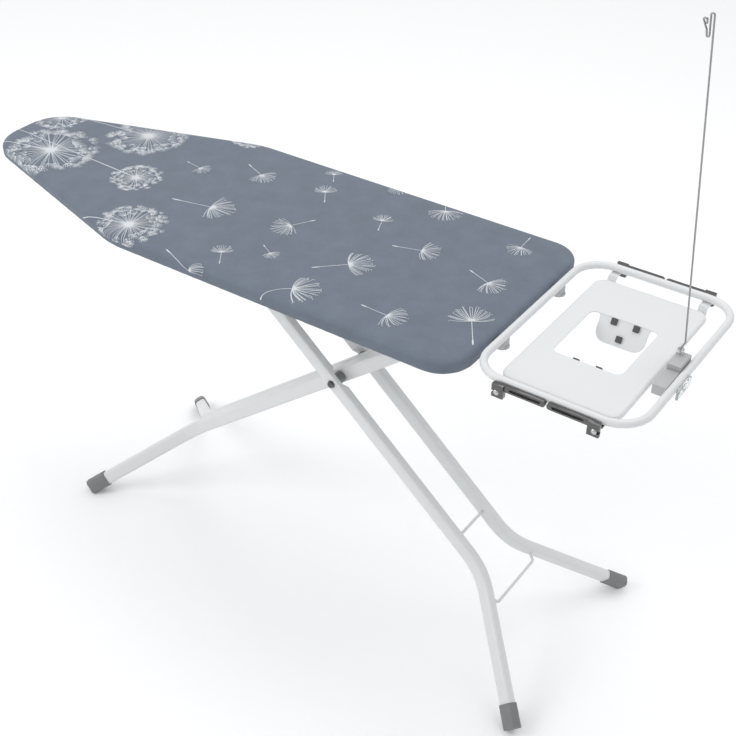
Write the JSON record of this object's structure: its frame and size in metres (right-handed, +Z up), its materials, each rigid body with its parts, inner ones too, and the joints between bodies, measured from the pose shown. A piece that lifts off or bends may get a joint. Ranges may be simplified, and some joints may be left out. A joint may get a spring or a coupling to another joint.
{
  "type": "ironing board",
  "caption": "Free-standing ironing board with a printed padded top, crossed folding tube legs, a steam-iron rest with folding hanger bars, and a cable holder rod.",
  "frame": {"origin": "on the floor, under the middle of the box round the whole board as it stands", "axes": "+X along the board towards the iron rest, +Y across it towards the side without the lever, +Z up"},
  "size_m": [1.5548, 0.4838, 1.3377],
  "materials": {
    "cover_cotton": "woven cotton, printed",
    "foam": "open-cell foam",
    "white_paint": "satin white powder coat",
    "panel_paint": "light grey powder coat on expanded metal",
    "steel": "zinc-plated steel",
    "dark_chrome": "dark nickel plate",
    "grey_plastic": "fine-grained moulded plastic",
    "light_plastic": "satin moulded plastic",
    "clear_plastic": "clear moulded plastic",
    "silicone": "matt silicone"
  },
  "bodies": {
    "board": {"axle_clip_far": "steel", "axle_clip_near": "steel", "board_clamp_far": "light_plastic", "board_clamp_near": "light_plastic", "cotton_cover": "cover_cotton", "cross_strap_middle": "white_paint", "cross_strap_nose": "white_paint", "cross_strap_tail": "white_paint", "edge_rim": "white_paint", "foam_pad": "foam", "hanger_bracket_board_far": "dark_chrome", "hanger_bracket_board_near": "dark_chrome", "hanger_bracket_outer_far": "dark_chrome", "hanger_bracket_outer_near": "dark_chrome", "holder_body": "light_plastic", "holder_boss": "clear_plastic", "holder_jaw": "clear_plastic", "holder_screw": "steel", "leg_axle": "steel", "lever_pin": "steel", "lever_spring": "steel", "mesh_panel": "panel_paint", "rail_far": "white_paint", "rail_near": "white_paint", "rest_loop": "white_paint", "rest_pad_far_board": "silicone", "rest_pad_far_low": "silicone", "rest_pad_far_outer": "silicone", "rest_pad_near_board": "silicone", "rest_pad_near_outer": "silicone", "rest_plate": "white_paint", "rest_strap_board": "white_paint", "rest_strap_outer": "white_paint"},
    "nose_leg": {"axle_sleeve": "white_paint", "crossing_bolt": "steel", "crossing_nut": "steel", "crossing_spacer_far": "grey_plastic", "crossing_spacer_near": "grey_plastic", "nose_foot_far": "grey_plastic", "nose_foot_near": "grey_plastic", "nose_leg_spine": "white_paint", "nose_leg_tube_far": "white_paint", "nose_leg_tube_near": "white_paint"},
    "tail_leg": {"brace_bent": "white_paint", "brace_straight": "white_paint", "slide_rod": "steel", "slide_roller_far": "grey_plastic", "slide_roller_near": "grey_plastic", "tail_foot_far": "grey_plastic", "tail_foot_near": "grey_plastic", "tail_leg_tube_far": "white_paint", "tail_leg_tube_near": "white_paint"},
    "release_lever": {"release_lever": "steel", "lever_grip": "grey_plastic"},
    "holder_rod": {"holder_rod": "steel"},
    "hanger_board_near": {"hanger_arm_board_near": "dark_chrome"},
    "hanger_board_far": {"hanger_arm_board_far": "dark_chrome"},
    "hanger_outer_near": {"hanger_arm_outer_near": "dark_chrome"},
    "hanger_outer_far": {"hanger_arm_outer_far": "dark_chrome"}
  },
  "joints": [
    {"name": "nose_leg_fold", "type": "hinge", "parent": "board", "child": "nose_leg", "pos_m": [0.404, 0, 0.735], "axis": [0, 1, 0], "range_deg": [-11.7, 36.3]},
    {"name": "tail_leg_cross", "type": "hinge", "parent": "nose_leg", "child": "tail_leg", "pos_m": [0.09251, 0, 0.489], "axis": [0, 1, 0], "range_deg": [-76, 24.8]},
    {"name": "release_lever_squeeze", "type": "hinge", "parent": "board", "child": "release_lever", "pos_m": [-0.03354, 0, 0.741], "axis": [0, -1, 0], "range_deg": [0, 8], "stiffness_Nm_per_rad": 1.2, "springref_deg": -20.05},
    {"name": "hanger_board_near_swing", "type": "hinge", "parent": "board", "child": "hanger_board_near", "pos_m": [0.5365, -0.2197, 0.76675], "axis": [0, 0, -1], "range_deg": [0, 90]},
    {"name": "hanger_board_far_swing", "type": "hinge", "parent": "board", "child": "hanger_board_far", "pos_m": [0.5365, 0.2197, 0.76675], "axis": [0, 0, 1], "range_deg": [0, 90]},
    {"name": "hanger_outer_near_swing", "type": "hinge", "parent": "board", "child": "hanger_outer_near", "pos_m": [0.7077, -0.2197, 0.76675], "axis": [0, 0, 1], "range_deg": [0, 90]},
    {"name": "hanger_outer_far_swing", "type": "hinge", "parent": "board", "child": "hanger_outer_far", "pos_m": [0.7077, 0.2197, 0.76675], "axis": [0, 0, -1], "range_deg": [0, 90]},
    {"name": "holder_rod_swivel", "type": "hinge", "parent": "board", "child": "holder_rod", "pos_m": [0.7413, 0.006, 0.797], "axis": [0, 0, 1], "continuous": true}
  ],
  "couplings": [
    {"joint": "tail_leg_cross", "follows": "nose_leg_fold", "ratio": -2.0836}
  ]
}
